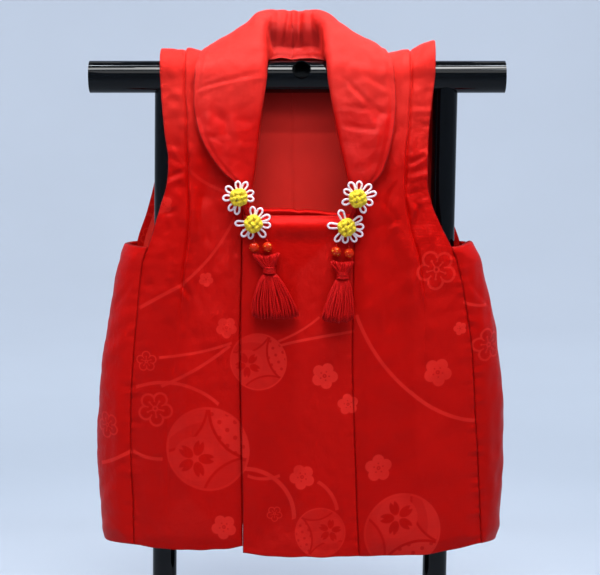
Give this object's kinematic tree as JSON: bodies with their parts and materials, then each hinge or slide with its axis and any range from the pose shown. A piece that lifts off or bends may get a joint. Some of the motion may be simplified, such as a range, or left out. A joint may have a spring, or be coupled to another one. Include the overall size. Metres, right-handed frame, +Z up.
{
  "type": "hifu coat on a display stand",
  "caption": "Padded red damask hifu coat for a small child, with a rolled collar, flower frogs, beads and tassels, hanging on a black tube display stand.",
  "frame": {"origin": "on the floor, under the middle of the part's bounding box", "axes": "+Z up, -Y out of the coat's front, +X to the right as seen from the front, along the shoulder tube"},
  "size_m": [0.3957, 0.24, 0.6208],
  "materials": {
    "black_steel": "glossy black powder coat",
    "red_damask": "padded satin damask, red on red",
    "red_lining": "plain matt lining",
    "white_cord": "white cord with a pink edge",
    "yellow_cord": "knotted yellow crepe cord",
    "red_glass": "red glass with gold flecks",
    "dark_red_silk": "dark red silk thread"
  },
  "bodies": {
    "root": {"stand_shoulder_tube": "black_steel", "stand_post_left": "black_steel", "stand_post_right": "black_steel", "stand_foot_left": "black_steel", "stand_foot_right": "black_steel", "body_left": "red_damask", "body_right": "red_damask", "side_gusset_left": "red_damask", "side_gusset_right": "red_damask", "collar_left": "red_damask", "collar_right": "red_damask", "front_band_under": "red_damask", "front_band_over": "red_damask", "back_lining_left": "red_lining", "back_lining_right": "red_lining", "petals_left_upper": "white_cord", "petals_left_lower": "white_cord", "petals_right_upper": "white_cord", "petals_right_lower": "white_cord", "knot_left_upper": "yellow_cord", "knot_left_lower": "yellow_cord", "knot_right_upper": "yellow_cord", "knot_right_lower": "yellow_cord", "link_cord_left": "dark_red_silk", "link_cord_right": "dark_red_silk", "bead_left_1": "red_glass", "bead_left_2": "red_glass", "bead_right_1": "red_glass", "bead_right_2": "red_glass", "bead_cord_left": "dark_red_silk", "bead_cord_right": "dark_red_silk", "tassel_left": "dark_red_silk", "tassel_right": "dark_red_silk"}
  },
  "joints": []
}
